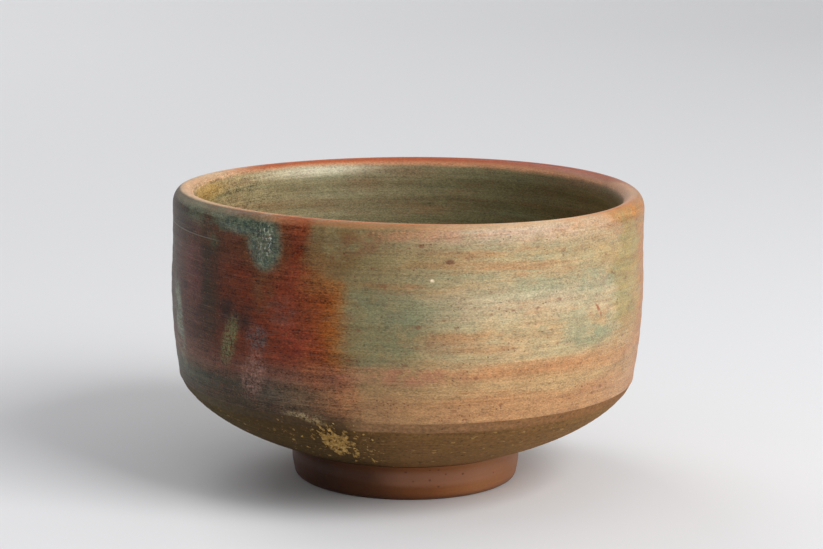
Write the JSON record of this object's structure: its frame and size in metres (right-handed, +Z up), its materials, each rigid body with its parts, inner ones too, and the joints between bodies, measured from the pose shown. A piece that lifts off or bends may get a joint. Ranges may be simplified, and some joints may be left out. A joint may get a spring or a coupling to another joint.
{
  "type": "matcha bowl",
  "caption": "Hand-thrown stoneware matcha bowl with a luted foot ring, a glaze coat over rim and wall, a run of ash glaze and a crust of kiln ash.",
  "frame": {"origin": "on the resting plane, under the bowl's upright axis", "axes": "+Z up along the bowl's axis of turning; the side with the ash run and the crust is the front and faces -Y"},
  "size_m": [0.1198, 0.1198, 0.0747],
  "materials": {
    "stoneware_body": "matte",
    "foot_clay": "satin",
    "satin_glaze": "satin",
    "ash_glaze": "gloss",
    "kiln_ash": "matte"
  },
  "bodies": {
    "root": {"bowl_body": "stoneware_body", "foot_ring": "foot_clay", "glaze_coat": "satin_glaze", "ash_glaze_run": "ash_glaze", "ash_crust": "kiln_ash"}
  },
  "joints": []
}
